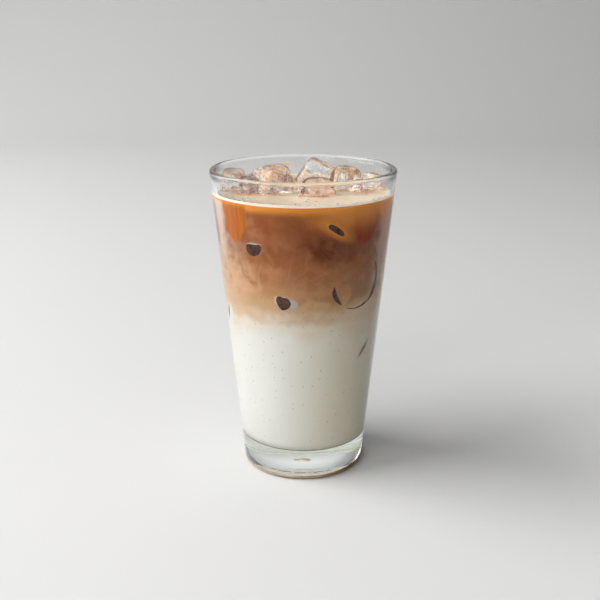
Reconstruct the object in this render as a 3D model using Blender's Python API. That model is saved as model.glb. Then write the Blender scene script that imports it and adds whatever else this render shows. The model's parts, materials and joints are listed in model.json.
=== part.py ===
"""An iced latte in a tapered glass.

The glass is a heavy-bottomed tumbler with a rolled lip. It holds milk, coffee poured over the milk,
and ice cubes that stand out of the coffee. Each is an object of its own: the glass is turned from
one profile, the two layers of the drink meet in an uneven surface, and the coffee has a pocket for
each ice cube. Lengths are in metres, +Z is up, -Y is the side that faces the viewer, and the origin
is the middle of the ring that the glass stands on.
"""

from math import cos, hypot, pi, radians, sin
from typing import NamedTuple

import bmesh
import bpy
from mathutils import Euler, Vector, noise

MM = 0.001

# Glass
GLASS_HEIGHT = 149.0 * MM
RIM_RADIUS = 44.5 * MM
FOOT_RADIUS = 29.9 * MM
HEEL_RADIUS = 2.0 * MM
FLOOR_THICKNESS = 14.3 * MM
FLOOR_CORNER_RADIUS = 6.0 * MM
WALL_AT_FOOT = 3.2 * MM
WALL_AT_RIM = 2.5 * MM
LIP_WIDTH = 2.9 * MM
LIP_DROP = 1.5 * MM
LIP_OVERHANG = 0.35 * MM
LIP_BAND = 5.0 * MM
LIP_START = -20  # degrees, where the lip's round leaves the outer wall
PUNT_RADIUS = 25.5 * MM
PUNT_DEPTH = 1.3 * MM

# Drink
DRINK_LEVEL = 138.0 * MM
MIX_LEVEL = 87.0 * MM
MIX_SLOPE = -0.22
SWIRL_HEIGHT = 8.0 * MM
SWIRL_LENGTH = 17.0 * MM
SWIRL_PLACE = (3.1, 7.4, 0.6)
GAP = 0.3 * MM
POCKET_ROOM = 0.4 * MM

# Facets
SEGMENTS = 60
LIP_STEPS = 6
CORNER_STEPS = 6
PUNT_STEPS = 4
MILK_WALL_STEPS = 5
COFFEE_WALL_STEPS = 4
MIX_RINGS = 7
ICE_CUTS = 5

# Ice
ICE_UNEVENNESS = 0.7 * MM
ICE_WAVES = 1.6
ICE_WAVE_SHIFT = 0.37  # from one cube to the next, so that no two are alike
HOLLOW_WIDTH = 0.68
HOLLOW_DEPTH = 0.45


class Cube(NamedTuple):
    """A melted ice cube. centre and half, its half sides, are in millimetres, and turned in degrees."""

    name: str
    centre: tuple
    half: tuple
    turned: tuple
    squareness: float = 6.0  # 2 is a ball, and a box has no limit
    hollow: bool = False  # whether its local -Y side, the last to freeze, is sunk in


ICE = (
    Cube("ice_left", (-33.4, -1.0, 139.3), (5.7, 7.8, 9.0), (3, 3, 5)),
    Cube("ice_mid_left", (-15.6, -1.5, 139.0), (8.4, 8.4, 8.8), (-4, 21, 38), hollow=True),
    Cube("ice_far_left", (-29.8, 15.4, 134.3), (5.2, 5.8, 6.8), (8, -6, -33)),
    Cube("ice_back_left", (-14.0, 22.4, 137.3), (7.6, 7.8, 9.2), (4, 3, 4), squareness=4.5),
    Cube("ice_back", (7.0, 22.8, 138.6), (9.2, 7.6, 9.2), (0, 30, 0), squareness=9.0),
    Cube("ice_back_right", (26.2, 21.4, 134.4), (5.7, 6.0, 6.8), (-5, 4, 40)),
    Cube("ice_mid_right", (20.0, 4.6, 139.0), (6.8, 7.6, 9.0), (-22, 8, 12), squareness=5.0, hollow=True),
    Cube("ice_right", (33.1, 7.8, 137.3), (4.9, 7.0, 7.6), (-4, 20, 14)),
    Cube("ice_front", (6.8, -5.6, 136.0), (7.6, 8.4, 9.0), (3, 3, 14), squareness=3.6),
)

# Base colour with alpha, roughness and how much light passes through
FINISHES = {
    "glass": ((0.90, 0.94, 0.92, 0.30), 0.02, 0.9),
    "milk": ((0.86, 0.84, 0.77, 1.0), 0.30, 0.0),
    "coffee": ((0.50, 0.26, 0.12, 1.0), 0.25, 0.0),
    "ice": ((0.90, 0.93, 0.94, 0.45), 0.08, 0.8),
}


def material(name):
    """A Principled material with the finish of that name, made once."""
    if name in bpy.data.materials:
        return bpy.data.materials[name]
    colour, roughness, transmission = FINISHES[name]
    made = bpy.data.materials.new(name)
    made.use_nodes = True
    shader = made.node_tree.nodes["Principled BSDF"]
    shader.inputs["Base Color"].default_value = colour
    shader.inputs["Roughness"].default_value = roughness
    shader.inputs["Metallic"].default_value = 0.0
    shader.inputs["Transmission Weight"].default_value = transmission
    return made


def add_object(name, bm, finish):
    """Turns a bmesh into an object of the scene, with smooth shading between its sharp edges."""
    bmesh.ops.recalc_face_normals(bm, faces=bm.faces)
    mesh = bpy.data.meshes.new(name)
    bm.to_mesh(mesh)
    bm.free()
    mesh.shade_smooth()
    mesh.set_sharp_from_angle(angle=radians(35))
    mesh.materials.append(material(finish))
    made = bpy.data.objects.new(name, mesh)
    bpy.context.scene.collection.objects.link(made)
    return made


def wall_share(z):
    """How far up the taper a height is: 0 at the top of the heel, 1 under the lip."""
    return (z - HEEL_RADIUS) / (GLASS_HEIGHT - LIP_BAND - HEEL_RADIUS)


def outer_radius(z):
    """Outside of the tapered wall at a height."""
    return FOOT_RADIUS + (RIM_RADIUS - LIP_OVERHANG - FOOT_RADIUS) * wall_share(z)


def inner_radius(z):
    """Inside of the tapered wall at a height."""
    return outer_radius(z) - WALL_AT_FOOT - (WALL_AT_RIM - WALL_AT_FOOT) * wall_share(z)


def arc(centre, radii, start, end, steps):
    """Points of an elliptical arc in the (radius, height) plane, angles in degrees, both ends included."""
    turns = (radians(start + (end - start) * i / steps) for i in range(steps + 1))
    return [(centre[0] + radii[0] * cos(a), centre[1] + radii[1] * sin(a)) for a in turns]


def floor_corner(inset):
    """The rounded corner between the floor and the wall inside the glass, from the floor up."""
    top = FLOOR_THICKNESS + FLOOR_CORNER_RADIUS
    centre = (inner_radius(top) - FLOOR_CORNER_RADIUS, top)
    reach = FLOOR_CORNER_RADIUS - inset
    return arc(centre, (reach, reach), -90, 0, CORNER_STEPS)


def glass_profile():
    """Half a section of the glass, from the middle of its underside round to the middle of its floor."""
    punt_radii = (PUNT_RADIUS * i / PUNT_STEPS for i in range(PUNT_STEPS + 1))
    punt = [(r, PUNT_DEPTH * (1 - (r / PUNT_RADIUS) ** 2)) for r in punt_radii]
    heel_centre = (FOOT_RADIUS - HEEL_RADIUS, HEEL_RADIUS)
    heel = arc(heel_centre, (HEEL_RADIUS, HEEL_RADIUS), -90, 0, CORNER_STEPS // 2)
    band = GLASS_HEIGHT - LIP_BAND
    lip_centre = (RIM_RADIUS - LIP_WIDTH / 2, GLASS_HEIGHT - LIP_DROP)
    lip = arc(lip_centre, (LIP_WIDTH / 2, LIP_DROP), LIP_START, 180, LIP_STEPS)
    outside = punt + heel + [(outer_radius(band), band)]
    inside = [(inner_radius(band), band)] + floor_corner(0.0)[::-1] + [(0.0, FLOOR_THICKNESS)]
    return outside + lip + inside


def turn(bm, rings):
    """Bridges a list of rings of points. A ring of one point is a pole."""
    made = [[bm.verts.new(point) for point in points] for points in rings]
    for low, high in zip(made, made[1:]):
        for i in range(SEGMENTS):
            j = (i + 1) % SEGMENTS
            if len(low) == 1:
                bm.faces.new((low[0], high[j], high[i]))
            elif len(high) == 1:
                bm.faces.new((low[i], low[j], high[0]))
            else:
                bm.faces.new((low[i], low[j], high[j], high[i]))


def ring(point_at):
    """A closed ring of points, where point_at gives (radius, height) for an angle."""
    made = []
    for i in range(SEGMENTS):
        a = 2 * pi * i / SEGMENTS
        r, z = point_at(a)
        made.append((r * cos(a), r * sin(a), z))
    return made


def plain_ring(r, z):
    """A level ring, or a single point where the radius is nothing."""
    return [(0.0, 0.0, z)] if r == 0.0 else ring(lambda a: (r, z))


def build_glass():
    bm = bmesh.new()
    turn(bm, [plain_ring(r, z) for r, z in glass_profile()])
    return add_object("glass", bm, "glass")


def mix_height(x, y):
    """Height of the uneven surface where the coffee has sunk into the milk."""
    swirl = noise.noise(Vector((x, y, 0.0)) / SWIRL_LENGTH + Vector(SWIRL_PLACE))
    return MIX_LEVEL + MIX_SLOPE * x + SWIRL_HEIGHT * swirl


def mix_edge(a):
    """Radius and height at which the mixing surface meets the wall, at an angle."""
    r = inner_radius(MIX_LEVEL)
    z = mix_height(r * cos(a), r * sin(a))
    return inner_radius(z) - GAP, z


def mix_rings(lift):
    """Rings of the mixing surface from its middle to its edge, raised by lift."""
    rings = [[(0.0, 0.0, mix_height(0.0, 0.0) + lift)]]
    for k in range(1, MIX_RINGS + 1):
        share = k / MIX_RINGS

        def point_at(a, share=share):
            edge_radius, edge_height = mix_edge(a)
            r = edge_radius * share
            z = edge_height if share == 1 else mix_height(r * cos(a), r * sin(a))
            return r, z + lift

        rings.append(ring(point_at))
    return rings


def build_milk():
    """The milk fills the glass from the mixing surface down to its floor."""
    corner = floor_corner(GAP)[::-1]
    rings = mix_rings(0.0)
    low = corner[0][1]
    for k in range(1, MILK_WALL_STEPS):
        share = k / MILK_WALL_STEPS

        def point_at(a, share=share):
            high = mix_edge(a)[1]
            z = high + (low - high) * share
            return inner_radius(z) - GAP, z

        rings.append(ring(point_at))
    rings += [plain_ring(r, z) for r, z in corner] + [plain_ring(0.0, corner[-1][1])]
    bm = bmesh.new()
    turn(bm, rings)
    return add_object("milk", bm, "milk")


def build_coffee():
    """The coffee lies on the milk and has a level top."""
    rings = mix_rings(GAP)
    for k in range(1, COFFEE_WALL_STEPS + 1):
        share = k / COFFEE_WALL_STEPS

        def point_at(a, share=share):
            low = mix_edge(a)[1] + GAP
            z = low + (DRINK_LEVEL - low) * share
            return inner_radius(z) - GAP, z

        rings.append(ring(point_at))
    bm = bmesh.new()
    turn(bm, rings + [plain_ring(0.0, DRINK_LEVEL)])
    return add_object("coffee", bm, "coffee")


def melted(direction, cube):
    """Point of a melted cube's surface in a direction from its centre."""
    half = Vector(cube.half) * MM
    power = cube.squareness
    reach = sum(abs(c / h) ** power for c, h in zip(direction, half)) ** (-1 / power)
    shift = ICE_WAVE_SHIFT * ICE.index(cube)
    wave = noise.noise(direction * ICE_WAVES + Vector((shift, 2 * shift, 0.0)))
    point = direction * (reach + ICE_UNEVENNESS * wave)
    if cube.hollow and point.y < 0:
        out = hypot(point.x / half.x, point.z / half.z) / HOLLOW_WIDTH
        if out < 1:
            point.y += HOLLOW_DEPTH * half.y * (1 - out * out) ** 2
    return point


def build_ice(cube, name, grow=0.0):
    """A melted cube. grow moves its faces out, for the pocket that it needs in the coffee."""
    half = Vector(cube.half) * MM
    bm = bmesh.new()
    bmesh.ops.create_cube(bm, size=2.0)
    bmesh.ops.subdivide_edges(bm, edges=bm.edges[:], cuts=ICE_CUTS, use_grid_fill=True)
    for v in bm.verts:
        point = melted((v.co * half).normalized(), cube)
        v.co = Vector(c * (1 + grow / h) for c, h in zip(point, half))
    made = add_object(name, bm, "ice")
    made.location = Vector(cube.centre) * MM
    made.rotation_euler = Euler([radians(t) for t in cube.turned])
    return made


def swap_mesh(thing, mesh):
    """Gives an object another mesh and returns the one that it had."""
    had = thing.data
    thing.data = mesh
    return had


def cut_pockets(coffee):
    """Takes a pocket for each ice cube out of the coffee."""
    cutters = bpy.data.collections.new("pockets")
    bpy.context.scene.collection.children.link(cutters)
    for cube in ICE:
        cutter = build_ice(cube, cube.name + "_pocket", grow=POCKET_ROOM)
        bpy.context.scene.collection.objects.unlink(cutter)
        cutters.objects.link(cutter)
    cut = coffee.modifiers.new("pockets", "BOOLEAN")
    cut.operation = "DIFFERENCE"
    cut.operand_type = "COLLECTION"
    cut.collection = cutters
    cut.solver = "EXACT"
    seen = bpy.context.evaluated_depsgraph_get()
    mesh = bpy.data.meshes.new_from_object(coffee.evaluated_get(seen))
    coffee.modifiers.clear()
    bpy.data.meshes.remove(swap_mesh(coffee, mesh))
    for cutter in list(cutters.objects):
        bpy.data.objects.remove(cutter)
    bpy.data.collections.remove(cutters)


def main():
    for old in list(bpy.data.objects):
        bpy.data.objects.remove(old)
    build_glass()
    build_milk()
    cut_pockets(build_coffee())
    for cube in ICE:
        build_ice(cube, cube.name)


main()
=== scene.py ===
"""The looks of the iced latte: clear glass, cloudy milk coffee, foam, melted ice and studio light."""

import json
from math import cos, exp, hypot, pi, radians, sin, sqrt
from random import Random

import bmesh
import bpy
from mathutils import Euler, Matrix, Vector, noise
from mathutils.bvhtree import BVHTree

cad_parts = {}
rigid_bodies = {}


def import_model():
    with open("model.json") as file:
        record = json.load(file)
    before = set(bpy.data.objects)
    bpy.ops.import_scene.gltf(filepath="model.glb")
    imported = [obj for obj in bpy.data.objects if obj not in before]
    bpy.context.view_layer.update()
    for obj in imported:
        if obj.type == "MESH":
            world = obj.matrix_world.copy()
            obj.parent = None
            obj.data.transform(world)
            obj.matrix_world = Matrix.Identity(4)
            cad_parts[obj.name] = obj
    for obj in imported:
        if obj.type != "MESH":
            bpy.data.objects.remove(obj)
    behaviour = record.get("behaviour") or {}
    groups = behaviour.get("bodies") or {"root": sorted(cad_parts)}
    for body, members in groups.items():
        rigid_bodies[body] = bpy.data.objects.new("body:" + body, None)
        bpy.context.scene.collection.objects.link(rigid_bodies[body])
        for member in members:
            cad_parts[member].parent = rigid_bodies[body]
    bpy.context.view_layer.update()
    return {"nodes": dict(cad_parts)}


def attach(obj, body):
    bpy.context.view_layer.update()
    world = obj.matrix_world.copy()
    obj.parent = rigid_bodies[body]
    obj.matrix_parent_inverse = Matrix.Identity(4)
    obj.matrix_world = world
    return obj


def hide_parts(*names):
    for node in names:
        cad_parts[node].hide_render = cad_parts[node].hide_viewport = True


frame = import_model()

MM = 0.001
BODY = "root"

# Glass, with the same sizes as its solid
GLASS_HEIGHT = 149.0 * MM
RIM_RADIUS = 44.5 * MM
FOOT_RADIUS = 29.9 * MM
HEEL_RADIUS = 2.0 * MM
FLOOR_THICKNESS = 14.3 * MM
FLOOR_CORNER_RADIUS = 6.0 * MM
WALL_AT_FOOT = 3.2 * MM
WALL_AT_RIM = 2.5 * MM
LIP_WIDTH = 2.9 * MM
LIP_DROP = 1.5 * MM
LIP_OVERHANG = 0.35 * MM
LIP_BAND = 5.0 * MM
PUNT_RADIUS = 25.5 * MM
PUNT_DEPTH = 1.3 * MM
GLASS_SEGMENTS = 360

# Drink
DRINK_LEVEL = 138.0 * MM
REACH = 0.10 * MM  # how far the drink reaches into the wall, so that no air gap shows
ICE_REACH = 0.07 * MM  # the same for ice that presses against the wall
SKIN = 0.06 * MM  # how far ice reaches into the drink round it, for the same reason
DRINK_SEGMENTS = 256
MENISCUS_RISE = 0.7 * MM
MENISCUS_WIDTH = 1.1 * MM
ICE_RISE = 0.9 * MM
FOAM_DEPTH = 0.35 * MM
FOAM_TOP = 0.2 * MM
BUBBLES = 170
POCKET_DEPTH = 3.2 * MM  # the coffee under the ice shows about this far down


def srgb(r, g, b):
    """A colour given as 0 to 255 display values, as the linear values that shaders take."""
    shares = (c / 255 for c in (r, g, b))
    linear = (c / 12.92 if c <= 0.04045 else ((c + 0.055) / 1.055) ** 2.4 for c in shares)
    return (*linear, 1.0)


# Shared mesh code


def wall_share(z):
    return (z - HEEL_RADIUS) / (GLASS_HEIGHT - LIP_BAND - HEEL_RADIUS)


def outer_radius(z):
    return FOOT_RADIUS + (RIM_RADIUS - LIP_OVERHANG - FOOT_RADIUS) * wall_share(z)


def inner_radius(z):
    return outer_radius(z) - WALL_AT_FOOT - (WALL_AT_RIM - WALL_AT_FOOT) * wall_share(z)


def arc(centre, radii, start, end, steps):
    """Points of an elliptical arc in the (radius, height) plane, angles in degrees, both ends included."""
    turns = (radians(start + (end - start) * i / steps) for i in range(steps + 1))
    return [(centre[0] + radii[0] * cos(a), centre[1] + radii[1] * sin(a)) for a in turns]


def line(start, end, steps):
    """Points between two ends, without the ends."""
    shares = (i / steps for i in range(1, steps))
    return [tuple(a + (b - a) * s for a, b in zip(start, end)) for s in shares]


def turned(profile, segments, shape=None):
    """A bmesh turned from (radius, height) points, from the axis's lower end outward.

    shape may move a point.
    """
    bm = bmesh.new()
    rings = []
    for r, z in profile:
        angles = [0.0] if r == 0 else [2 * pi * i / segments for i in range(segments)]
        points = [Vector((r * cos(a), r * sin(a), z)) for a in angles]
        rings.append([bm.verts.new(shape(p) if shape else p) for p in points])
    for low, high in zip(rings, rings[1:]):
        for i in range(segments):
            j = (i + 1) % segments
            corners = [low[i % len(low)], low[j % len(low)], high[j % len(high)], high[i % len(high)]]
            bm.faces.new(list(dict.fromkeys(corners)))
    bmesh.ops.recalc_face_normals(bm, faces=bm.faces)
    return bm


def piece(name, bm, *materials):
    """Turns a bmesh into a smooth-shaded object of the scene."""
    mesh = bpy.data.meshes.new(name)
    bm.to_mesh(mesh)
    bm.free()
    mesh.shade_smooth()
    mesh.set_sharp_from_angle(angle=radians(50))
    for mat in materials:
        mesh.materials.append(mat)
    made = bpy.data.objects.new(name, mesh)
    bpy.context.scene.collection.objects.link(made)
    return made


def applied(thing):
    """The object with its modifiers applied."""
    mesh = bpy.data.meshes.new_from_object(thing.evaluated_get(bpy.context.evaluated_depsgraph_get()))
    thing.modifiers.clear()
    thing.data = mesh
    return thing


# Materials


class Shader:
    """A material's node tree, with short calls to add nodes and link them."""

    def __init__(self, name):
        self.material = bpy.data.materials.new(name)
        self.material.use_nodes = True
        self.tree = self.material.node_tree
        self.principled = self.tree.nodes["Principled BSDF"]
        self.output = self.tree.nodes["Material Output"]
        self.place = None

    def node(self, kind, inputs=None, **settings):
        """Adds a node. inputs are values or other nodes' sockets, by name or number."""
        made = self.tree.nodes.new("ShaderNode" + kind)
        for key, value in settings.items():
            setattr(made, key, value)
        for key, value in (inputs or {}).items():
            self.put(made.inputs[key], value)
        return made

    def put(self, socket, value):
        if isinstance(value, bpy.types.NodeSocket):
            self.tree.links.new(value, socket)
        else:
            socket.default_value = value

    def set(self, **values):
        """Sets the Principled shader's inputs, with underscores for spaces."""
        for key, value in values.items():
            self.put(self.principled.inputs[key.replace("_", " ")], value)

    def position(self):
        """The place on the object, in metres."""
        if self.place is None:
            self.place = self.node("TexCoord").outputs["Object"]
        return self.place

    def split(self, vector=None):
        """The x, y and z of a vector, or else of the place on the object."""
        return tuple(self.node("SeparateXYZ", {0: vector or self.position()}).outputs)

    def edge(self, blend):
        """0 where the surface faces the viewer, up to 1 where it turns away."""
        return self.node("LayerWeight", {"Blend": blend}).outputs["Facing"]

    def math(self, operation, *values):
        return self.node("Math", dict(enumerate(values)), operation=operation).outputs[0]

    def noise(self, scale, detail=2.0, roughness=0.5, distortion=0.0, at=None, colour=False):
        """Noise with scale waves to the metre."""
        inputs = {"Vector": at or self.position(), "Scale": scale, "Detail": detail}
        inputs |= {"Roughness": roughness, "Distortion": distortion}
        return self.node("TexNoise", inputs).outputs["Color" if colour else "Fac"]

    def ramp(self, fac, stops, smooth=True):
        """Colours or greys along 0 to 1. stops are (place, colour) pairs."""
        made = self.node("ValToRGB", {"Fac": fac})
        bar = made.color_ramp
        bar.interpolation = "EASE" if smooth else "LINEAR"
        while len(bar.elements) < len(stops):
            bar.elements.new(0.5)
        for element, (place, colour) in zip(bar.elements, stops):
            element.position = place
            element.color = colour if hasattr(colour, "__len__") else (colour, colour, colour, 1.0)
        return made.outputs["Color"]

    def map(self, value, low, high, to_low=0.0, to_high=1.0):
        """A value from low..high as to_low..to_high, with smooth ends and clamped."""
        inputs = {"Value": value, "From Min": low, "From Max": high, "To Min": to_low, "To Max": to_high}
        return self.node("MapRange", inputs, interpolation_type="SMOOTHSTEP").outputs[0]

    def oval(self, chart, place, half, turn=0.0, soft=0.3):
        """1 inside an oval on the chart and 0 outside, with a soft edge. Sizes in mm, turn in degrees."""
        inputs = {"Vector": chart, "Location": (*place, 0.0), "Scale": (*half, 1.0)}
        inputs["Rotation"] = (0.0, 0.0, radians(turn))
        near = self.node("Mapping", inputs, vector_type="TEXTURE").outputs[0]
        away = self.node("VectorMath", {0: near}, operation="LENGTH").outputs["Value"]
        return self.map(away, 1.0 - soft, 1.0 + soft, 1.0, 0.0)

    def mix(self, fac, a, b, blend="MIX"):
        made = self.node("Mix", {0: fac, 6: a, 7: b}, data_type="RGBA", blend_type=blend)
        return made.outputs[2]

    def patch(self, colour, chart, place, half, turn, soft, tone, strength=1.0):
        """The colour with an oval patch of another tone on it. The tone is given as 0 to 255."""
        mask = self.oval(chart, place, half, turn, soft)
        return self.mix(self.math("MULTIPLY", mask, strength), colour, srgb(*tone))

    def bump(self, height, distance, strength=1.0):
        inputs = {"Height": height, "Distance": distance, "Strength": strength}
        self.set(Normal=self.node("Bump", inputs).outputs["Normal"])


def glass_material():
    """Clear glass with a painted dark outline at the rim, standing in for dark surroundings refracted at its
    tips, and a scuffed heel at the right.
    """
    s = Shader("clear glass")
    x, _, height = s.split()
    # Painted shade at the rim: its edges go dark olive where they turn away, in place of the dark
    # surroundings that the rim refracts.
    outline = s.ramp(s.edge(0.5), ((0.50, 1.0), (0.76, srgb(104, 110, 96)), (0.94, srgb(12, 15, 8))))
    near_rim = s.map(height, 0.1445, 0.1465)
    to_side = s.map(s.math("ABSOLUTE", x), 0.026, 0.042, 0.5, 1.0)
    amount = s.math("MULTIPLY", near_rim, to_side)
    colour = s.mix(amount, (1.0, 1.0, 1.0, 1.0), outline)
    scuffs = s.math("MULTIPLY", s.map(x, 0.017, 0.025), s.map(height, 0.011, 0.014, 0.16, 0.0))
    s.set(Base_Color=colour, Roughness=scuffs, IOR=1.51, Transmission_Weight=1.0)
    s.set(Specular_Tint=(0.35, 0.35, 0.35, 1.0))
    s.bump(s.noise(60.0, detail=1.0), 0.03 * MM)
    volume = s.node("VolumeAbsorption", {"Color": (0.80, 0.93, 0.86, 1.0), "Density": 4.0})
    s.tree.links.new(volume.outputs[0], s.output.inputs["Volume"])
    return s.material


def ice_material(name, outline, milky):
    """Ice with painted brown outlines where it turns away, standing in for the coffee seen through its edges,
    fine brown lines and milky smears.
    """
    s = Shader(name)
    turned_away = s.math("ADD", s.edge(0.5), s.map(s.noise(260.0, detail=3.0), 0.3, 0.7, -0.08, 0.08))
    start, end = outline
    middle = 0.5 * (start + end)
    # Painted edges: brown to near black where the ice turns away from view, in place of the coffee refracted
    # through its edges.
    colour = s.ramp(turned_away, ((start, 1.0), (middle, srgb(150, 84, 48)), (end, srgb(30, 4, 0))))
    thread = s.math("ABSOLUTE", s.math("SUBTRACT", s.noise(130.0, detail=2.0, distortion=1.0), 0.5))
    thread = s.map(thread, 0.003, 0.016, 1.2 * milky, 0.0)
    smear = s.map(s.noise(240.0, detail=5.0, roughness=0.65, distortion=1.5), 0.50, 0.72, 0.0, milky)
    colour = s.mix(smear, colour, srgb(252, 238, 224))
    colour = s.mix(thread, colour, srgb(178, 88, 36))
    milkiness = s.math("MAXIMUM", s.math("MULTIPLY", smear, 0.8), s.math("MULTIPLY", thread, 0.8))
    clear = s.math("SUBTRACT", 1.0, milkiness)
    s.set(Base_Color=colour, Roughness=0.03, IOR=1.31, Transmission_Weight=clear)
    s.set(Specular_Tint=(0.9, 0.9, 0.9, 1.0))
    s.bump(s.noise(500.0, detail=4.0, roughness=0.6), 0.08 * MM)
    return s.material


CHART_RADIUS = 38.0  # mm, turns an azimuth into a width on the chart of the wall

# Colour up the wall: height in mm and tone
DEPTHS = (
    (72, (242, 241, 236)),
    (79, (240, 234, 222)),
    (85, (228, 206, 178)),
    (91, (212, 176, 136)),
    (98, (204, 154, 110)),
    (105, (190, 132, 88)),
    (113, (176, 112, 68)),
    (123, (160, 92, 50)),
    (132, (166, 94, 48)),
)

# Clouds on the wall: azimuth in degrees, height, half width and half height in mm, turn in degrees, softness,
# colour and strength
CLOUDS = (
    # Painted light: this pale cloud at the left edge stands in for light shining through the thin drink
    # there.
    ((-68, 106), (14, 26), 0, 0.7, (228, 196, 164), 0.75),
    ((-48, 103), (12, 9), -8, 0.5, (230, 188, 148), 0.72),
    ((-20, 124), (12, 8), -20, 0.6, (196, 130, 84), 0.55),
    ((-24, 106), (12, 6), -14, 0.5, (206, 152, 102), 0.60),
    ((-3, 128), (11, 6), -8, 0.6, (146, 84, 46), 0.55),
    ((17, 118), (13, 6.5), -6, 0.5, (116, 56, 26), 0.90),
    ((33, 115), (9, 5), 0, 0.6, (150, 88, 52), 0.55),
    ((2, 104), (14, 5), 6, 0.6, (176, 116, 74), 0.50),
    ((12, 94), (12, 3.5), 4, 0.5, (178, 124, 82), 0.60),
    ((-30, 91), (12, 3.5), 0, 0.6, (222, 180, 134), 0.60),
    ((43, 99), (11, 10), 0, 0.3, (164, 120, 86), 0.60),
    ((50, 82), (15, 8), 4, 0.7, (238, 218, 194), 0.70),
    ((8, 77), (9, 4), 10, 0.8, (238, 222, 194), 0.55),
    # Painted light: this pale cloud at the right edge brightens it as light through the thin drink would.
    ((67, 101), (8, 25), 0, 0.6, (232, 198, 168), 0.75),
    ((2, 110), (9, 5), -10, 0.6, (186, 122, 74), 0.50),
    ((-36, 128), (8, 5), 0, 0.6, (198, 138, 88), 0.60),
    ((22, 131.5), (13, 4.5), 0, 0.6, (214, 132, 66), 0.70),
    ((-4, 84), (11, 3.2), 22, 0.7, (206, 172, 136), 0.60),
    ((14, 84), (7, 3.0), -16, 0.7, (214, 184, 150), 0.55),
    ((-22, 84), (7, 4.4), 12, 0.7, (242, 238, 232), 0.70),
    ((-44, 84), (9, 3.0), -10, 0.7, (224, 190, 150), 0.55),
)


def wall_chart(s):
    """The wall laid flat, as a vector: width from the front's middle and height, both in mm."""
    x, y, z = s.split()
    turn = s.math("ARCTAN2", x, s.math("MULTIPLY", y, -1.0))
    width = s.math("MULTIPLY", turn, CHART_RADIUS)
    return s.node("CombineXYZ", {0: width, 1: s.math("MULTIPLY", z, 1000.0)}).outputs[0]


def on_chart(azimuth, height):
    return (radians(azimuth) * CHART_RADIUS, height)


def warped(s, chart, amount, scale, detail=3.0):
    """The chart pushed about by noise, for cloudy edges."""
    push = s.noise(scale, detail=detail, roughness=0.55, colour=True)
    push = s.node("VectorMath", {0: push, 1: (0.5, 0.5, 0.5)}, operation="SUBTRACT").outputs[0]
    push = s.node("VectorMath", {0: push, "Scale": amount}, operation="SCALE").outputs[0]
    return s.node("VectorMath", {0: chart, 1: push}, operation="ADD").outputs[0]


def drink_colour(s):
    """Milk below, coffee above and cloudy swirls where they meet, with painted light and shade at the sides.
    """
    chart = wall_chart(s)
    slow = warped(s, chart, 10.0, 45.0)
    fine = warped(s, slow, 4.2, 120.0, detail=4.0)
    height = s.split(fine)[1]
    low, high = DEPTHS[0][0], DEPTHS[-1][0]
    share = s.node("MapRange", {"Value": height, "From Min": low, "From Max": high}).outputs[0]
    colour = s.ramp(share, [((z - low) / (high - low), srgb(*tone)) for z, tone in DEPTHS])
    # Painted shade: a warm darkening low on the right side of the drink, away from the light.
    shaded = s.oval(chart, on_chart(50, 40), (30, 60), 0, 0.7)
    colour = s.mix(shaded, colour, srgb(255, 249, 232), "MULTIPLY")
    for place, *look in CLOUDS:
        colour = s.patch(colour, fine, on_chart(*place), *look)
    colour = wisps(s, height, colour)
    # Painted shade: a dark olive line along the milk's lower edge, where it turns under onto the glass floor.
    painted_dark_edge = s.map(s.split(chart)[1], 14.9, 16.2, 0.75, 0.0)
    colour = s.mix(painted_dark_edge, colour, srgb(150, 146, 100))
    colour = bright_top(s, chart, colour)
    return halos(s, chart, specks(s, chart, colour))


def wisps(s, height, colour):
    """Pale wisps and brown grime in the coffee."""
    wisp = s.noise(40.0, detail=3.0, roughness=0.55, distortion=1.6)
    wisp = s.map(s.math("ABSOLUTE", s.math("SUBTRACT", wisp, 0.5)), 0.0, 0.05, 0.09, 0.0)
    wisp = s.math("MULTIPLY", wisp, s.map(height, 86.0, 98.0))
    wisp = s.math("MULTIPLY", wisp, s.map(height, 110.0, 124.0, 1.0, 0.25))
    colour = s.mix(wisp, colour, srgb(232, 196, 160))
    grime = s.map(s.noise(75.0, detail=5.0, roughness=0.65, distortion=1.0), 0.40, 0.70, 0.0, 0.28)
    grime = s.math("MULTIPLY", grime, s.map(height, 92.0, 108.0))
    return s.mix(grime, colour, srgb(120, 62, 30))


def bright_top(s, chart, colour):
    """The amber band under the surface, and the runs that hang from it, painted lit at the left and shaded at
    the right.
    """
    near = warped(s, chart, 1.5, 80.0)
    top = s.split(near)[1]
    colour = s.mix(s.map(top, 132.8, 137.0), colour, srgb(252, 164, 64))
    colour = runs(s, chart, colour)
    colour = s.mix(s.map(top, 134.8, 138.0, 0.0, 0.75), colour, srgb(250, 158, 62))
    colour = s.patch(colour, near, on_chart(63, 136), (6, 5), 0, 0.5, (255, 156, 78))
    return s.patch(colour, near, on_chart(38, 136.5), (17, 8.0), 0, 0.9, (255, 170, 78), 0.85)


def specks(s, chart, colour):
    """Sparse tiny specks of coffee in the milk."""
    cells = s.node("TexVoronoi", {"Vector": chart, "Scale": 0.20}, voronoi_dimensions="2D")
    near = s.map(cells.outputs["Distance"], 0.035, 0.075, 1.0, 0.0)
    chosen = s.map(s.split(cells.outputs["Color"])[0], 0.45, 0.85, 0.0, 0.55)
    return s.mix(s.math("MULTIPLY", near, chosen), colour, srgb(150, 116, 80))


# Pale rims beside the runs, painted light where it shines through the thin drink at the edges, given as the
# clouds are
LIT_EDGE_RIMS = (
    ((-68, 138), (4.6, 24), 0, 0.5, (238, 224, 208), 0.8),
    ((66, 138), (5.0, 24), 0, 0.5, (232, 178, 136), 0.8),
)


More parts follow.
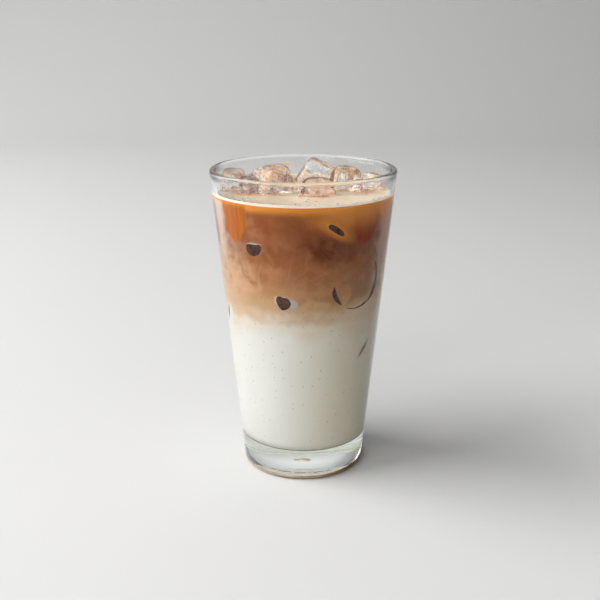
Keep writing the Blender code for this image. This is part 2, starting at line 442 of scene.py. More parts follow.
def runs(s, chart, colour):
    """The two runs of clear coffee that hang down the wall from the surface, between pale rims: the left run
    is painted lit orange and the right one shaded russet.
    """
    streak = s.node("VectorMath", {0: chart, 1: (0.6, 0.05, 0.0)}, operation="MULTIPLY").outputs[0]
    grain = s.node("TexNoise", {"Vector": streak, "Scale": 1.0, "Detail": 3.0}).outputs["Fac"]
    # Painted light and shade: the run at the left is bright orange where light comes through, the one at the
    # right darker russet in shade.
    orange = s.ramp(grain, ((0.30, srgb(192, 102, 22)), (0.70, srgb(210, 122, 34))))
    russet = s.ramp(grain, ((0.30, srgb(150, 50, 0)), (0.70, srgb(162, 64, 0))))
    near = warped(s, chart, 1.6, 120.0)
    for place, *look in LIT_EDGE_RIMS:
        colour = s.patch(colour, near, on_chart(*place), *look)
    colour = s.mix(s.oval(near, on_chart(-49.5, 137), (7.8, 18), 0, 0.07), colour, orange)
    return s.mix(s.oval(near, on_chart(46, 137), (8.2, 18), -8, 0.07), colour, russet)


# Milky patches round the windows of ice, then the streaks low at the sides, given as the clouds are
HALOS = (
    ((21.5, 126.6), (8.0, 2.9), -32, 0.6, (240, 156, 66), 0.8),
    ((-34.5, 117.2), (4.7, 3.2), 4, 0.22, (170, 136, 116), 0.7),
    # Painted highlight: the white scallop along the top of the left window.
    ((-33.5, 119.4), (3.6, 0.8), 3, 0.22, (214, 200, 190), 0.7),
    ((-12.8, 92.6), (4.6, 3.6), -8, 0.22, (200, 180, 160), 0.8),
    ((-18.4, 93.6), (1.6, 2.4), 24, 0.22, (228, 222, 214), 0.6),
    ((-7.2, 92.6), (2.4, 2.0), -20, 0.22, (206, 204, 204), 0.65),
    ((20.6, 127.2), (4.8, 1.5), -34, 0.22, (214, 176, 120), 0.9),
    ((25, 95), (1.5, 4.6), 24, 0.22, (172, 150, 130), 0.6),
    ((59, 97), (1.3, 6.4), 8, 0.22, (196, 184, 176), 0.5),
    ((-71, 81), (3.4, 4.6), -20, 0.5, (240, 240, 238), 1.0),
    ((-74, 81), (1.3, 4.0), -24, 0.5, (120, 126, 134), 1.0),
    ((54.6, 65.2), (5.4, 1.3), 45, 0.5, (190, 182, 172), 1.0),
    ((54.4, 64.8), (3.4, 0.8), 45, 0.4, (166, 112, 84), 1.0),
)


def halos(s, chart, colour):
    """Thin milky coffee between the wall and the ice, round the places where ice touches the wall."""
    near = warped(s, chart, 1.0, 300.0)
    for place, *look in HALOS:
        colour = s.patch(colour, near, on_chart(*place), *look)
    return colour


def drink_material():
    s = Shader("milk coffee")
    s.set(Base_Color=drink_colour(s), Roughness=0.5, Specular_IOR_Level=0.0)
    return s.material


# Colour of the coffee that shows through each cube: place and half size in mm, colour and strength
UNDER_ICE = (
    ((-9, 20), (7, 9), (240, 186, 96), 0.85),
    ((7, 23), (11, 9), (240, 232, 220), 0.85),
    ((20, 5), (9, 9), (206, 176, 148), 0.7),
    ((-33, -1), (8, 9), (200, 164, 140), 0.7),
    ((-16, -8), (9, 4), (196, 150, 120), 0.6),
    ((7, -12), (9, 4), (196, 124, 66), 0.7),
)


def flat_chart(s, amount, scale, detail=3.0):
    """The drink's top seen from above, as a vector in mm, pushed about by noise."""
    flat = s.node("VectorMath", {0: s.position(), 1: (1000.0, 1000.0, 0.0)}, operation="MULTIPLY").outputs[0]
    return warped(s, flat, amount, scale, detail)


def glowing_pocket_material():
    """The coffee behind an ice cube, with a faint painted glowing light."""
    s = Shader("coffee behind ice")
    flat = flat_chart(s, 4.0, 200.0)
    grain = s.noise(420.0, detail=4.0)
    colour = s.ramp(grain, ((0.35, srgb(200, 164, 136)), (0.65, srgb(246, 234, 220))))
    for place, half, tone, strength in UNDER_ICE:
        colour = s.patch(colour, flat, place, half, 0, 0.3, tone, strength)
    s.set(Base_Color=colour, Roughness=0.5, Specular_IOR_Level=0.0)
    # Painted light: the pocket glows faintly in its own colour.
    s.set(Emission_Color=colour, Emission_Strength=0.16)
    return s.material


# Patches on the foam: place and half size in mm, turn in degrees, softness, colour and strength
POOLS = (
    ((-4, 27), (5, 8), 0, 0.4, (226, 164, 74), 0.9),
    ((-10, 4), (5, 6), 20, 0.4, (214, 150, 62), 0.9),
    ((-1, 8), (5, 3), 0, 0.5, (208, 148, 70), 0.8),
    ((-24, 6), (5, 9), 10, 0.5, (190, 130, 92), 0.8),
    ((-26, -9), (8, 3), -14, 0.5, (186, 112, 62), 0.7),
    ((-12, -12), (9, 2), 4, 0.6, (206, 164, 130), 0.6),
    ((7, -15), (7, 1.6), 0, 0.5, (186, 100, 44), 0.8),
    ((28, -4), (7, 6), 30, 0.6, (178, 136, 104), 0.7),
    ((14, 14), (9, 4), -10, 0.5, (206, 160, 120), 0.7),
)


def foam_material():
    """Beige foam with pools of clear coffee, brown streaks and a painted bright, glowing line where it climbs
    the wall.
    """
    s = Shader("foam")
    x, y, _ = s.split()
    flat = flat_chart(s, 5.0, 170.0, detail=4.0)
    tone = s.noise(90.0, detail=5.0, roughness=0.6)
    colour = s.ramp(tone, ((0.35, srgb(212, 190, 160)), (0.65, srgb(228, 210, 184))))
    for pool in POOLS:
        colour = s.patch(colour, flat, *pool)
    grains = s.map(s.noise(1300.0, detail=2.0), 0.60, 0.68, 0.0, 0.5)
    colour = s.mix(grains, colour, srgb(176, 140, 108))
    r = s.math("SQRT", s.math("ADD", s.math("MULTIPLY", x, x), s.math("MULTIPLY", y, y)))
    wall = inner_radius(DRINK_LEVEL)
    # Painted highlight: a bright cream line, also glowing, where the foam climbs the wall.
    rim = s.map(r, wall - 0.25 * MM, wall + 0.02 * MM)
    colour = s.mix(rim, colour, srgb(252, 247, 234))
    s.set(Base_Color=colour, Roughness=0.35, IOR=1.34)
    s.set(Emission_Color=srgb(250, 240, 220), Emission_Strength=s.math("MULTIPLY", rim, 0.22))
    s.bump(s.noise(900.0, detail=2.0), 0.03 * MM)
    return s.material


# Glass


def glass_profile():
    """Half a section of the glass, from the middle of its underside round to the middle of its floor."""
    punt_radii = [PUNT_RADIUS * i / 12 for i in range(13)]
    punt = [(r, PUNT_DEPTH * (1 - (r / PUNT_RADIUS) ** 2)) for r in punt_radii]
    heel_centre = (FOOT_RADIUS - HEEL_RADIUS, HEEL_RADIUS)
    heel = arc(heel_centre, (HEEL_RADIUS, HEEL_RADIUS), -90, 0, 10)
    ring = line(punt[-1], heel[0], 6)
    band = GLASS_HEIGHT - LIP_BAND
    outside = (outer_radius(band), band)
    inside = (inner_radius(band), band)
    lip_centre = (RIM_RADIUS - LIP_WIDTH / 2, GLASS_HEIGHT - LIP_DROP)
    lip = arc(lip_centre, (LIP_WIDTH / 2, LIP_DROP), -20, 180, 24)
    corner = arc(*floor_corner(), -90, 0, 12)[::-1]
    walls = [line(heel[-1], outside, 16), line(inside, corner[0], 16)]
    floor = [(r, FLOOR_THICKNESS) for r, _ in line(corner[-1], (0.0, 0.0), 6)] + [(0.0, FLOOR_THICKNESS)]
    return punt + ring + heel + walls[0] + [outside] + lip + [inside] + walls[1] + corner + floor


def floor_corner(grow=0.0):
    """Centre and radii of the rounded corner between floor and wall."""
    top = FLOOR_THICKNESS + FLOOR_CORNER_RADIUS
    radius = FLOOR_CORNER_RADIUS + grow
    return (inner_radius(top) - FLOOR_CORNER_RADIUS, top), (radius, radius)


def make_glass():
    made = piece("tumbler", turned(glass_profile(), GLASS_SEGMENTS), glass_material())
    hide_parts("glass")


# Ice


def melt(thing, seed):
    """Gives an ice cube the uneven, softly dimpled skin of melting ice."""
    skin = [(v.co.copy(), v.normal.copy()) for v in thing.data.vertices]
    for v, (place, normal) in zip(thing.data.vertices, skin):
        wave = noise.noise(place * 120.0 + Vector((seed, 0.0, seed)))
        ripple = noise.noise(place * 380.0 + Vector((0.0, seed, seed)))
        grain = noise.noise(place * 900.0 + Vector((seed, seed, 0.0)))
        v.co = place + normal * MM * (0.55 * wave + 0.30 * ripple + 0.08 * grain)


def smooth_cube(node, name, mat):
    """A fine mesh of an ice solid: its square faces found again and rounded."""
    bm = bmesh.new()
    bm.from_mesh(frame["nodes"][node].data)
    bmesh.ops.remove_doubles(bm, verts=bm.verts, dist=0.01 * MM)
    for face in bm.faces:
        face.material_index = 0
    bmesh.ops.join_triangles(bm, faces=bm.faces, angle_face_threshold=0.9, angle_shape_threshold=0.9)
    made = piece(name, bm)
    made.modifiers.new("round", "SUBSURF").levels = 3
    applied(made).data.materials.clear()
    made.data.materials.append(mat)
    return made


def shrunk(thing, name, by, mat):
    """A copy of an ice cube whose skin lies by inside its own, to cut its pocket with."""
    mesh = thing.data.copy()
    normals = [v.normal.copy() for v in mesh.vertices]
    for v, n in zip(mesh.vertices, normals):
        v.co -= n * by
        v.co.z = max(v.co.z, DRINK_LEVEL - POCKET_DEPTH + 0.08 * (v.co.z - DRINK_LEVEL))
    mesh.materials.clear()
    mesh.materials.append(mat)
    made = bpy.data.objects.new(name, mesh)
    bpy.context.scene.collection.objects.link(made)
    return made


def press_to_wall(thing):
    """Moves what would stick through the wall back to it, so that the cube lies flat against the glass."""
    for v in thing.data.vertices:
        r = hypot(v.co.x, v.co.y)
        most = inner_radius(v.co.z) + ICE_REACH
        if r > most:
            v.co.x *= most / r
            v.co.y *= most / r


# The two cubes with the darkest painted outlines
DARKEST_PAINTED_EDGES = ("ice_mid_right", "ice_front")

# Ice chips that float between the cubes: place, half size and turn, in mm and degrees
CHIPS = (
    ((-25.4, -3.0, 140.2), (4.2, 5.8, 5.0), (4, -8, 24)),
    ((-23.0, 7.4, 139.4), (5.2, 4.0, 4.6), (0, 12, -20)),
    ((27.4, -1.2, 136.9), (4.2, 2.8, 3.0), (6, -14, 30)),
    ((-1.2, -15.6, 138.5), (2.2, 1.5, 1.7), (10, 20, 40)),
)


def make_chip(name, place, half, turned_by, mat):
    bm = bmesh.new()
    bmesh.ops.create_icosphere(bm, subdivisions=5, radius=1.0)
    for v in bm.verts:
        reach = sum(abs(c) ** 4.0 for c in v.co) ** -0.25
        v.co = v.co * reach
    spin = Euler([radians(a) for a in turned_by]).to_matrix().to_4x4()
    size = Matrix.Diagonal((*(h * MM for h in half), 1.0))
    bmesh.ops.transform(bm, matrix=Matrix.Translation(Vector(place) * MM) @ spin @ size, verts=bm.verts)
    bmesh.ops.recalc_face_normals(bm, faces=bm.faces)
    return piece(name, bm, mat)


def make_top_ice(lining):
    """The cubes that stand out of the drink. Gives the tools that cut their pockets, which get the lining."""
    clear = ice_material("clear ice", (0.58, 0.76), 0.10)
    cloudy = ice_material("cloudy ice", (0.68, 0.92), 0.50)
    cutters = []
    nodes = sorted(n for n in frame["nodes"] if n.startswith("ice_"))
    for i, node in enumerate(nodes):
        mat = clear if node in DARKEST_PAINTED_EDGES else cloudy
        cube = smooth_cube(node, node.replace("ice_", "cube_"), mat)
        melt(cube, 3.7 * i)
        cutters.append(shrunk(cube, "cut_" + node, SKIN, lining))
        press_to_wall(cube)
        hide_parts(node)
    for i, (place, half, turned_by) in enumerate(CHIPS):
        chip = make_chip("chip_%d" % i, place, half, turned_by, cloudy)
        melt(chip, 1.9 * i)
        cutters.append(shrunk(chip, "cut_chip_%d" % i, SKIN, lining))
    return cutters


# Sunk ice


# Ice that is sunk in the drink and shows only where it touches the wall: outline in degrees and mm,
# then how deep it goes and how much it widens
TOUCHING = {
    "sunk_left": (
        (
            (-40.2, 117.8), (-38.3, 119.3), (-33, 119.3), (-29.3, 119.6),
            (-28.0, 117.8), (-31.2, 114.7), (-36, 114.0), (-39.2, 115.4),
        ),
        (20.0, 5.0),
    ),
    "sunk_middle": (
        (
            (-19.2, 93.8), (-17.6, 95.9), (-13.5, 95.2), (-10.8, 95.0),
            (-8.7, 92.5), (-10.6, 90.2), (-15.0, 89.3), (-17.6, 91.0),
        ),
        (20.0, 6.0),
    ),
    "sunk_right": (
        (
            (15.8, 129.0), (17.5, 129.9), (21.5, 128.6), (25.6, 126.2),
            (26.7, 124.3), (24.5, 124.2), (20.4, 125.9), (17.0, 127.6),
        ),
        (18.0, 5.0),
    ),
    "sunk_ring_left": (
        (
            (21.7, 100.2), (20.5, 97.2), (21.8, 94.4), (24.4, 92.2),
            (28.2, 90.8), (26.4, 93.2), (24.4, 95.6), (23.0, 98.2),
        ),
        (5.0, 0.6),
    ),
}

# The same outlines turned round to the back: name, source, degrees and mm
BEHIND = (
    ("sunk_back_left", "sunk_right", -158.0, -9.0),
    ("sunk_back_middle", "sunk_left", 205.0, -13.0),
    ("sunk_back_right", "sunk_middle", 142.0, 20.0),
)

# The rim of a dished cube face that touches the wall: azimuth, height and half width
TOUCHING_ARC = (
    (55.8, 109.8, 0.12),
    (58.8, 107.2, 0.35),
    (60.8, 103.9, 0.60),
    (61.4, 100.3, 0.95),
    (60.6, 96.8, 1.30),
    (58.0, 93.6, 1.40),
    (54.0, 91.1, 1.05),
    (49.5, 89.3, 0.60),
    (44.0, 88.2, 0.36),
    (38.0, 88.0, 0.24),
    (33.0, 88.9, 0.12),
)

# Trace that the foam left on the back wall: azimuth, height and half width
FOAM_TRACE = (
    (200.5, 142.2, 0.15),
    (198.0, 143.5, 0.30),
    (194.5, 144.3, 0.36),
    (190.5, 144.5, 0.36),
    (187.0, 144.0, 0.30),
    (184.2, 143.0, 0.15),
)

# Section of sunk ice: shares of its depth and of its widening, from the wall inward
SUNK_SECTION = (
    (0.0, 0.0), (0.02, 0.10), (0.06, 0.25), (0.16, 0.48), (0.35, 0.80),
    (0.6, 1.0), (0.85, 0.8), (0.97, 0.35), (1.0, 0.0),
)
SUNK_OVERLAP = 1.3 * REACH  # how far sunk ice reaches into the wall, a little more than the drink


def arc_outline(arc):
    """The closed outline of an arc with the half widths given, in degrees and mm."""
    there, back = [], []
    for i, (turn, height, half) in enumerate(arc):
        a, b = arc[max(i - 1, 0)], arc[min(i + 1, len(arc) - 1)]
        along = (Vector(on_chart(*b[:2])) - Vector(on_chart(*a[:2]))).normalized()
        wide = half / radians(1.0) / CHART_RADIUS
        there.append((turn + along.y * wide, height - along.x * half))
        back.append((turn - along.y * wide, height + along.x * half))
    return there + back[::-1]


def round_trip(points, steps):
    """A smooth closed curve through points on the chart, evenly cut."""
    curve = []
    for i in range(len(points)):
        a, b, c, d = (Vector(points[(i + k) % len(points)]) for k in (-1, 0, 1, 2))
        square = 2 * a - 5 * b + 4 * c - d
        cubic = 3 * b - a - 3 * c + d
        for t in (k / steps for k in range(steps)):
            curve.append(0.5 * (2 * b + (c - a) * t + square * t * t + cubic * t**3))
    return curve


def widened(curve, by):
    """The closed curve moved outward along its normals."""
    area = sum(a.x * b.y - b.x * a.y for a, b in zip(curve, curve[1:] + curve[:1]))
    side = 1.0 if area > 0 else -1.0
    moved = []
    for i, p in enumerate(curve):
        along = (curve[(i + 1) % len(curve)] - curve[i - 1]).normalized()
        moved.append(p + Vector((along.y, -along.x)) * side * by)
    return moved


def wall_ice(outline, depth, spread):
    """A bmesh of ice that meets the wall in the outline and widens behind it."""
    curve = round_trip([on_chart(*p) for p in outline], 6)
    bm = bmesh.new()
    rings = []
    for share, wide in SUNK_SECTION:
        rings.append([bm.verts.new(wall_point(p, share * depth)) for p in widened(curve, wide * spread)])
    for low, high in zip(rings, rings[1:]):
        for i in range(len(low)):
            j = (i + 1) % len(low)
            bm.faces.new((low[i], low[j], high[j], high[i]))
    for ring in (rings[0], rings[-1]):
        bmesh.ops.triangulate(bm, faces=[bm.faces.new(ring)])
    bmesh.ops.recalc_face_normals(bm, faces=bm.faces)
    return bm


def wall_point(on_wall, inward):
    """The place on the inner wall for a point on the chart, moved inward by some mm."""
    z = on_wall.y * MM
    r = inner_radius(z) + SUNK_OVERLAP - inward * MM
    turn = on_wall.x / CHART_RADIUS
    return Vector((r * sin(turn), -r * cos(turn), z))


def sunk_ice_shade_material():
    """Painted shade: an opaque dark brown stand-in for the unlit inside of ice sunk in coffee, with painted
    glints and small bubbles.
    """
    s = Shader("painted shade of sunk ice")
    tone = s.noise(420.0, detail=4.0, roughness=0.6, distortion=0.8)
    # The dark and middle browns are painted shade; the paler spots are painted glints.
    dark, middle, pale = srgb(64, 44, 36), srgb(104, 72, 57), srgb(158, 132, 112)
    colour = s.ramp(tone, ((0.36, dark), (0.52, middle), (0.63, middle), (0.74, pale)))
    s.set(Base_Color=colour, Roughness=0.5, Specular_IOR_Level=0.0)
    return s.material


def make_sunk_ice():
    # Every sunk piece gets the painted shade of ice seen in coffee.
    mat = sunk_ice_shade_material()
    for name, (outline, (depth, spread)) in TOUCHING.items():
        piece(name, wall_ice(outline, depth, spread), mat)
    for name, source, turn, rise in BEHIND:
        outline = [(a + turn, z + rise) for a, z in TOUCHING[source][0]]
        piece(name, wall_ice(outline, *TOUCHING[source][1]), mat)
    piece("sunk_ring_right", wall_ice(arc_outline(TOUCHING_ARC), 3.0, 0.1), mat)


# Drink


def drink_profile():
    """Half a section of the drink, from the middle of its underside to the middle of its top."""
    corner = arc(*floor_corner(REACH), -90, 0, 12)
    floor = [(0.0, corner[0][1])] + line((0.0, corner[0][1]), corner[0], 6)
    top = (inner_radius(DRINK_LEVEL) + REACH, DRINK_LEVEL)
    return floor + corner + line(corner[-1], top, 60) + [top] + surface_profile(0.0)


def surface_profile(z):
    """(radius, height) points from the wall to the middle, closer together near the wall."""
    edge = inner_radius(DRINK_LEVEL) + REACH
    steps = 70
    radii = [edge * (1 - (i / steps) ** 1.15) for i in range(1, steps)] + [0.0]
    return [(r, DRINK_LEVEL + z) for r in radii]


def glowing_underside_material():
    """The milk's underside, which the thick floor of the glass mirrors, with painted light that makes it
    glowing.
    """
    s = Shader("glowing milk underside")
    s.set(Base_Color=srgb(244, 243, 236), Roughness=0.5, Specular_IOR_Level=0.0)
    # Painted light: the underside glows, brighter as light gathered under the glass would make it.
    s.set(Emission_Color=srgb(236, 236, 230), Emission_Strength=0.28)
    return s.material


def make_drink(cutters):
    made = piece("drink", turned(drink_profile(), DRINK_SEGMENTS), drink_material(), glowing_underside_material())
    for face in made.data.polygons:
        face.material_index = 1 if face.normal.z < -0.9 else 0
    cut(made, cutters)
    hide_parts("milk", "coffee")


def foam_rise(p, ice):
    """How far the foam climbs above its own level near the wall and the ice."""
    away = max(inner_radius(DRINK_LEVEL) + REACH - hypot(p.x, p.y), 0.0)
    near = min(tree.find_nearest(p)[3] for tree in ice)
    return max(MENISCUS_RISE * exp(-away / MENISCUS_WIDTH), ICE_RISE * exp(-near / MENISCUS_WIDTH))


def make_foam(cutters, ice):
    """A thin skin of foam that climbs a little up the glass and the ice."""
    reach = 1.1 * REACH
    edge = inner_radius(DRINK_LEVEL) + REACH
    bottom = DRINK_LEVEL - FOAM_DEPTH
    low = [(0.0, bottom), (edge * 0.5, bottom), (inner_radius(bottom) + reach, bottom)]
    top = DRINK_LEVEL + FOAM_TOP
    profile = low + [(inner_radius(top) + reach, top)] + surface_profile(FOAM_TOP)

    def shape(p):
        if p.z <= bottom:
            return p
        r = hypot(p.x, p.y)
        z = p.z + foam_rise(p, ice)
        grow = (inner_radius(z) + reach) / r if r > edge else 1.0
        return Vector((p.x * grow, p.y * grow, z))

    made = piece("foam", turned(profile, DRINK_SEGMENTS, shape), foam_material())
    cut(made, cutters)


def make_foam_trace():
    s = Shader("foam trace")
    s.set(Base_Color=srgb(232, 204, 168), Roughness=0.5, Specular_IOR_Level=0.1)
    piece("foam_trace", wall_ice(arc_outline(FOAM_TRACE), 0.45, 0.05), s.material)


def bubble_material():
    s = Shader("bubbles")
    s.set(Base_Color=srgb(252, 236, 214), Roughness=0.08, IOR=1.18, Transmission_Weight=0.65)
    return s.material


def over_pocket(p, ice):
    """Whether a point on the drink lies over the pocket of a cube."""
    reach = 0.03
    below = p - Vector((0, 0, reach))
    return any(tree.ray_cast(below, Vector((0, 0, 1)), reach)[0] for tree in ice)


def make_bubbles(ice):
    """Small bubbles on the foam, most of them along the wall and beside the ice."""
    chance = Random(11)
    bm = bmesh.new()
    made = 0
    while made < BUBBLES:
        along_wall = chance.random() < 0.35
        turn = chance.uniform(0.0, 2 * pi)
        r = inner_radius(DRINK_LEVEL) - chance.uniform(0.5, 1.6) * MM
        if not along_wall:
            r *= sqrt(chance.random())
        p = Vector((r * cos(turn), r * sin(turn), DRINK_LEVEL + FOAM_TOP))
        near = min(tree.find_nearest(p)[3] for tree in ice)
        if near < 0.4 * MM or (not along_wall and near > 2.0 * MM and chance.random() < 0.8):
            continue
        if over_pocket(p, ice):
            continue
        size = chance.uniform(0.18, 0.55) * MM
        place = Matrix.Translation(p + Vector((0.0, 0.0, foam_rise(p, ice) + 0.1 * size)))
        bmesh.ops.create_icosphere(bm, subdivisions=2, radius=size, matrix=place)
        made += 1
    piece("bubbles", bm, bubble_material())


def cut(thing, cutters):
    """Takes the ice's pockets out of a piece."""
    tools = bpy.data.collections.new("tools")
    for cutter in cutters:
        tools.objects.link(cutter)
    boolean = thing.modifiers.new("pockets", "BOOLEAN")
    boolean.operation = "DIFFERENCE"
    boolean.operand_type = "COLLECTION"
    boolean.collection = tools
    boolean.solver = "MANIFOLD"
    boolean.material_mode = "TRANSFER"
    applied(thing)
    thing.data.set_sharp_from_angle(angle=radians(50))
    bpy.data.collections.remove(tools)


# Small things


def heel_reflection_and_marks_material():
    """Painted reflection of the coffee in the heel: tan and cream bands along the front of the foot, painted
    shade that makes it browner to the right, painted shade grey at the sides behind and painted light pale
    straight behind.
    """
    s = Shader("painted heel reflection and marks")
    x, y, z = s.split()
    wobble = s.map(s.noise(60.0, detail=4.0), 0.3, 0.7, -0.35, 0.35)
    band = s.math("ADD", s.math("MULTIPLY", z, 1000.0), wobble)
    # Painted reflection and caustic light: the coffee's colours seen in the heel, with a dark olive line at
    # its foot.
    tan, cream, amber, olive = srgb(172, 134, 84), srgb(236, 226, 202), srgb(186, 122, 54), srgb(130, 114, 82)
    bands = ((0.0, olive), (0.22, tan), (0.42, cream), (0.62, tan), (0.82, cream), (1.0, tan))
    colour = s.ramp(s.map(band, 0.0, 2.0), bands)
    patch = s.map(s.noise(45.0, detail=2.0), 0.50, 0.62)
    colour = s.mix(s.math("MULTIPLY", patch, 0.8), colour, amber)
    # Painted shade: browner to the right.
    colour = s.mix(s.map(x, 0.002, 0.022, 0.0, 0.85), colour, srgb(146, 108, 56))
    # Painted shade grey at the sides behind, and painted light pale straight behind.
    side = s.map(s.math("ABSOLUTE", x), 0.006, 0.012)
    behind = s.map(y, 0.000, 0.014)
    colour = s.mix(behind, colour, s.mix(side, srgb(228, 229, 222), srgb(118, 122, 108)))
    r = s.node("VectorMath", {0: s.position()}, operation="LENGTH").outputs["Value"]
    dots = s.mix(s.map(y, 0.0, 0.004), srgb(182, 148, 104), srgb(204, 184, 156))
    colour = s.mix(s.map(r, 0.0205, 0.0215, 1.0, 0.0), colour, dots)
    s.set(Base_Color=colour, Roughness=0.6, Specular_IOR_Level=0.0)
    # Painted light: the ring glows a little everywhere, and more behind.
    painted_glow = s.math("MULTIPLY", behind, s.math("SUBTRACT", 0.20, s.math("MULTIPLY", side, 0.20)))
    s.set(Emission_Color=colour, Emission_Strength=s.math("ADD", 0.08, painted_glow))
    return s.material


RING_RADIUS = 26.4 * MM  # inner edge of the ring painted with the coffee's reflection
RING_INSET = 0.12 * MM  # how far the ring lies inside the glass
RING_THICKNESS = 0.05 * MM
FOOT_DOTS = 34
DOT_RADIUS = 17.6 * MM  # of the circle they stand on


def make_heel_reflection_and_marks():
    """A ring in the heel painted with the coffee's reflection and light, and the dried drops inside it."""
    bm = bmesh.new()
    add_heel_reflection_ring(bm)
    add_foot_dots(bm)
    add_smudges(bm)
    bmesh.ops.recalc_face_normals(bm, faces=bm.faces)
    piece("heel_reflection_and_marks", bm, heel_reflection_and_marks_material())


def heel_reflection_section(turn):
    """The painted ring's section at an azimuth: low at the back corners, and up the wall to the right."""
    corner = max(0.0, cos(radians(min(abs(abs(turn) - 128), 32) * 90 / 32)))
    centre = (FOOT_RADIUS - HEEL_RADIUS, HEEL_RADIUS)
    radius = HEEL_RADIUS - RING_INSET
    heel = arc(centre, (radius, radius), -90, -4 - 66 * corner, 10)
    rise = 1.6 * MM * max(sin(radians(turn)), 0.0) ** 2 * (1 - corner)
    outside = heel + [(heel[-1][0] + rise * 0.11, heel[-1][1] + rise + RING_THICKNESS)]
    inside = [(r - 0.3 * MM, z + RING_THICKNESS) for r, z in outside[::-1]]
    ends = [(RING_RADIUS, RING_INSET), (RING_RADIUS, RING_INSET + RING_THICKNESS)]
    return ends[:1] + outside + inside + ends[1:]


def add_heel_reflection_ring(bm):
    rows = []
    for turn in range(-180, 180):
        t = radians(turn)
        rows.append([bm.verts.new((r * sin(t), -r * cos(t), z)) for r, z in heel_reflection_section(turn)])
    for left, right in zip(rows, rows[1:] + rows[:1]):
        for i in range(len(left)):
            j = (i + 1) % len(left)
            bm.faces.new((left[i], left[j], right[j], right[i]))


def add_mark(bm, x, y, size, stretch, turn=0.0):
    """Adds a flat drop on the hollow underside."""
    punt = PUNT_DEPTH * (1 - (hypot(x, y) / PUNT_RADIUS) ** 2)
    place = Matrix.Translation((x, y, punt + 0.06 * MM)) @ Matrix.Rotation(turn, 4, "Z")
    place = place @ Matrix.Diagonal((*stretch, 1.0))
    bmesh.ops.create_icosphere(bm, subdivisions=2, radius=size, matrix=place)


def add_foot_dots(bm):
    """Adds the dashes of coffee that dried in a circle under the glass."""
    for i in range(FOOT_DOTS):
        chance = noise.noise(Vector((i * 0.71, 3.1, 0.0)))
        turn = radians(-62 + 104 * (i + 0.6 * noise.noise(Vector((i * 1.9, 0.0, 0.0)))) / FOOT_DOTS)
        if chance < -0.12:
            continue
        r = DOT_RADIUS + 0.6 * MM * chance
        add_mark(bm, r * sin(turn), -r * cos(turn), (0.30 + 0.40 * abs(chance)) * MM, (1.5, 1.3, 0.5), turn)


# Smudges on the underside: place, half size and turn, in mm and degrees
SMUDGES = (
    ((-1.8, 7.4), (1.0, 1.6), 0),
    ((0.6, 8.2), (1.3, 3.0), 20),
    ((1.3, 6.4), (0.7, 1.0), 0),
    ((12.6, 13.6), (2.2, 1.2), 0),
)


def add_smudges(bm):
    for (x, y), half, turn in SMUDGES:
        add_mark(bm, x * MM, y * MM, MM, (*half, 0.25), radians(turn))


# Studio


# Camera: widths in the photograph's pixels, sensor in mm, place in metres and tilt down in degrees
PHOTO_WIDTH = 600
FOCAL_PIXELS = 950.1
SHIFT_PIXELS = -3.25
SENSOR_WIDTH = 36.0
CAMERA_PLACE = (0.0, -0.449, 0.2202)
CAMERA_TILT = 16.98


def make_camera():
    """The photograph's view: its height, distance, tilt and the small shift of the glass in the frame."""
    data = bpy.data.cameras.new("camera")
    data.sensor_width = SENSOR_WIDTH
    data.lens = SENSOR_WIDTH * FOCAL_PIXELS / PHOTO_WIDTH
    data.shift_x = SHIFT_PIXELS / PHOTO_WIDTH
    data.clip_start = 0.01
    made = bpy.data.objects.new("camera", data)
    made.location = CAMERA_PLACE
    made.rotation_euler = (radians(90 - CAMERA_TILT), 0.0, 0.0)
    bpy.context.scene.collection.objects.link(made)
    bpy.context.scene.camera = made


def floor_material():
    """Pale paper with painted shade far in front, where the glass mirrors it, and far behind, and painted
    light, brighter and glowing, high on the curve.
    """
    s = Shader("paper")
    x, y, z = s.split()
    # Painted shade towards the front and far behind, painted light high on the curve.
    front = s.map(y, -0.60, -0.14, 0.55, 1.0)
    back = s.math("MULTIPLY", s.map(y, 0.6, 1.5, 0.98, 1.06), s.map(y, 1.7, 3.0, 1.0, 0.90))
    back = s.math("MULTIPLY", back, s.map(z, 0.35, 1.3, 1.0, 1.6))
    shade = s.math("MULTIPLY", front, back)
    grey = s.node("CombineColor", {0: shade, 1: shade, 2: shade}).outputs[0]
    tone = s.mix(1.0, srgb(205, 205, 204), grey, "MULTIPLY")
    s.set(Base_Color=tone, Roughness=0.9, Specular_IOR_Level=0.1)
    # Painted light: the curve glows, more so to the right.
    painted_glow = s.math("MULTIPLY", s.map(z, 0.22, 0.60, 0.0, 0.12), s.map(x, -0.8, 0.8, 0.7, 1.5))
    s.set(Emission_Color=(1.0, 1.0, 0.99, 1.0), Emission_Strength=painted_glow)
    return s.material


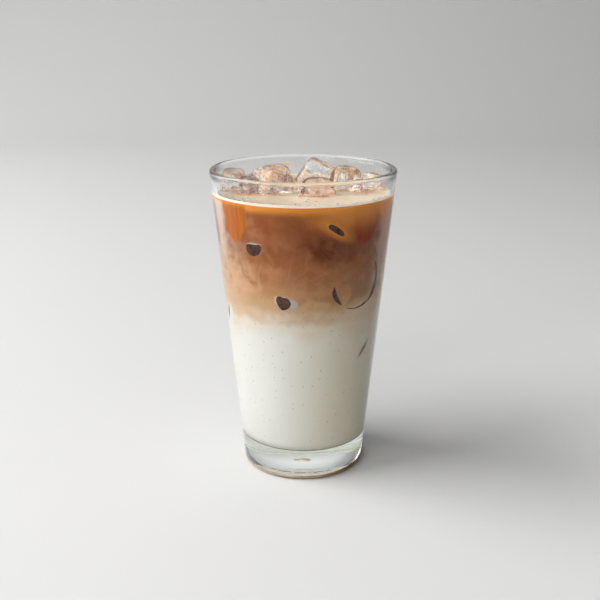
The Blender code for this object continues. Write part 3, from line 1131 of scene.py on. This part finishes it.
def make_floor():
    """A pale sheet that runs back flat and then curves up."""
    bm = bmesh.new()
    front, bend_start, bend_radius, top, wide = -1.5, 1.2, 1.2, 2.5, 4.0
    sunk = 0.03 * MM
    turns = [radians(a) for a in range(5, 91, 5)]
    bend = [(bend_start + bend_radius * sin(a), bend_radius * (1 - cos(a))) for a in turns]
    profile = [(front, 0.0), (bend_start, 0.0)] + bend + [(bend_start + bend_radius, top)]
    rows = [[bm.verts.new((x, y, z - sunk)) for x in (-wide, wide)] for y, z in profile]
    for low, high in zip(rows, rows[1:]):
        bm.faces.new((low[0], low[1], high[1], high[0]))
    made = piece("floor", bm, floor_material())


LIT_PLACE = (0.0, 0.0, 0.05)  # where both lights point


def area_light(name, place, target, size, power, colour=(1.0, 1.0, 1.0)):
    data = bpy.data.lights.new(name, "AREA")
    data.shape = "RECTANGLE"
    data.size, data.size_y = size
    data.energy = power
    data.color = colour
    made = bpy.data.objects.new(name, data)
    made.location = place
    made.rotation_euler = (Vector(target) - Vector(place)).to_track_quat("-Z", "Y").to_euler()
    bpy.context.scene.collection.objects.link(made)


def make_lights():
    """A large key light at the left, a weak one in front and a dim white sky."""
    area_light("key", (-1.50, -0.12, 1.25), LIT_PLACE, (1.7, 1.7), 62.0)
    area_light("fill", (-0.7, -1.6, 1.0), LIT_PLACE, (1.4, 1.4), 23.0)
    world = bpy.data.worlds.new("world")
    world.use_nodes = True
    sky = world.node_tree.nodes["Background"]
    sky.inputs["Color"].default_value = (1.0, 1.0, 1.0, 1.0)
    sky.inputs["Strength"].default_value = 0.13
    bpy.context.scene.world = world
    bpy.context.scene.view_settings.view_transform = "Standard"


def set_bounces():
    """Enough bounces for light to get through the wall, the ice and the floor of the glass."""
    cycles = bpy.context.scene.cycles
    cycles.max_bounces = 24
    cycles.transmission_bounces = 24
    cycles.diffuse_bounces = 8


def tree_of(mesh):
    """A search tree of a mesh's faces."""
    return BVHTree.FromPolygons([v.co for v in mesh.vertices], [p.vertices for p in mesh.polygons])


def main():
    make_camera()
    make_floor()
    make_lights()
    make_glass()
    cutters = make_top_ice(glowing_pocket_material())
    trees = [tree_of(cutter.data) for cutter in cutters]
    make_sunk_ice()
    make_drink(cutters)
    make_foam(cutters, trees)
    make_foam_trace()
    make_bubbles(trees)
    make_heel_reflection_and_marks()
    for cutter in cutters:
        bpy.data.objects.remove(cutter)
    set_bounces()
    for thing in bpy.context.scene.collection.objects:
        if thing.type == "MESH" and thing.name != "floor" and thing.name not in frame["nodes"]:
            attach(thing, BODY)


main()
